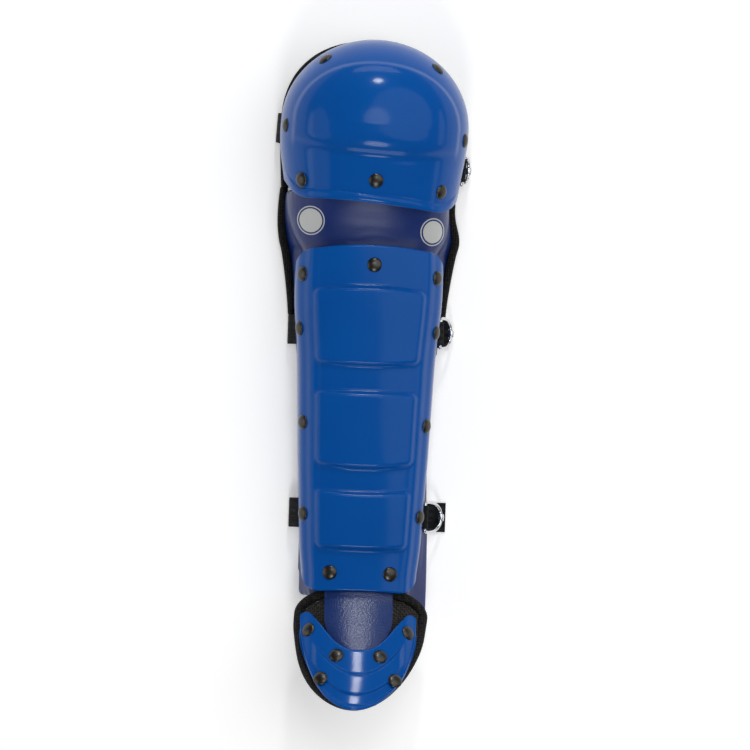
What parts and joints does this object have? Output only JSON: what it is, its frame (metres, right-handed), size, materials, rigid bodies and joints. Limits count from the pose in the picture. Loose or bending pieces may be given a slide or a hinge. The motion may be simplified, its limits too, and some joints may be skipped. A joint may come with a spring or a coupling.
{
  "type": "baseball catcher's leg guard",
  "caption": "Hard-shelled leg guard with a domed knee cap, a ribbed shin shell and an instep plate over soft padding, held on by straps that go round the back of the leg.",
  "frame": {"origin": "middle of the underside of the whole guard as it lies on its back on its straps", "axes": "+Z out of the front of the guard, +Y from the foot toward the knee, +X the side that carries the rings"},
  "size_m": [0.1702, 0.5712, 0.1175],
  "materials": {
    "hard_shell": "glossy royal blue moulded plastic",
    "vinyl_padding": "dark royal blue grained vinyl over foam",
    "ankle_flap": "dark royal blue pebbled vinyl over foam",
    "mesh_padding": "black spacer mesh over foam",
    "bound_edge": "black knitted edge binding",
    "webbing": "black woven webbing",
    "rivet_metal": "dark gunmetal domed caps",
    "hook_metal": "black enamelled wire and plate",
    "ring_metal": "bright nickel plate"
  },
  "bodies": {
    "root": {"knee_shell": "hard_shell", "knee_pad": "vinyl_padding", "knee_binding": "bound_edge", "shin_shell": "hard_shell", "shin_pad": "vinyl_padding", "shin_binding_left": "bound_edge", "shin_binding_right": "bound_edge", "tongue": "ankle_flap", "foot_shell": "hard_shell", "foot_pad": "mesh_padding", "foot_binding": "bound_edge", "knee_rivet_1": "rivet_metal", "knee_rivet_2": "rivet_metal", "knee_rivet_3": "rivet_metal", "knee_rivet_4": "rivet_metal", "knee_rivet_5": "rivet_metal", "knee_rivet_6": "rivet_metal", "knee_rivet_7": "rivet_metal", "shin_rivet_1": "rivet_metal", "shin_rivet_2": "rivet_metal", "shin_rivet_3": "rivet_metal", "shin_rivet_4": "rivet_metal", "shin_rivet_5": "rivet_metal", "shin_rivet_6": "rivet_metal", "shin_rivet_7": "rivet_metal", "shin_rivet_8": "rivet_metal", "shin_rivet_9": "rivet_metal", "shin_rivet_10": "rivet_metal", "shin_rivet_11": "rivet_metal", "foot_rivet_1": "rivet_metal", "foot_rivet_2": "rivet_metal", "foot_rivet_3": "rivet_metal", "foot_rivet_4": "rivet_metal", "foot_rivet_5": "rivet_metal", "foot_rivet_6": "rivet_metal", "knee_strap": "webbing", "knee_tab": "webbing", "knee_hook": "hook_metal", "knee_ring": "ring_metal", "shin_strap_upper": "webbing", "shin_tab_upper": "webbing", "shin_hook_upper": "hook_metal", "shin_ring_upper": "ring_metal", "shin_strap_lower": "webbing", "shin_tab_lower": "webbing", "shin_hook_lower": "hook_metal", "shin_ring_lower": "ring_metal"}
  },
  "joints": []
}
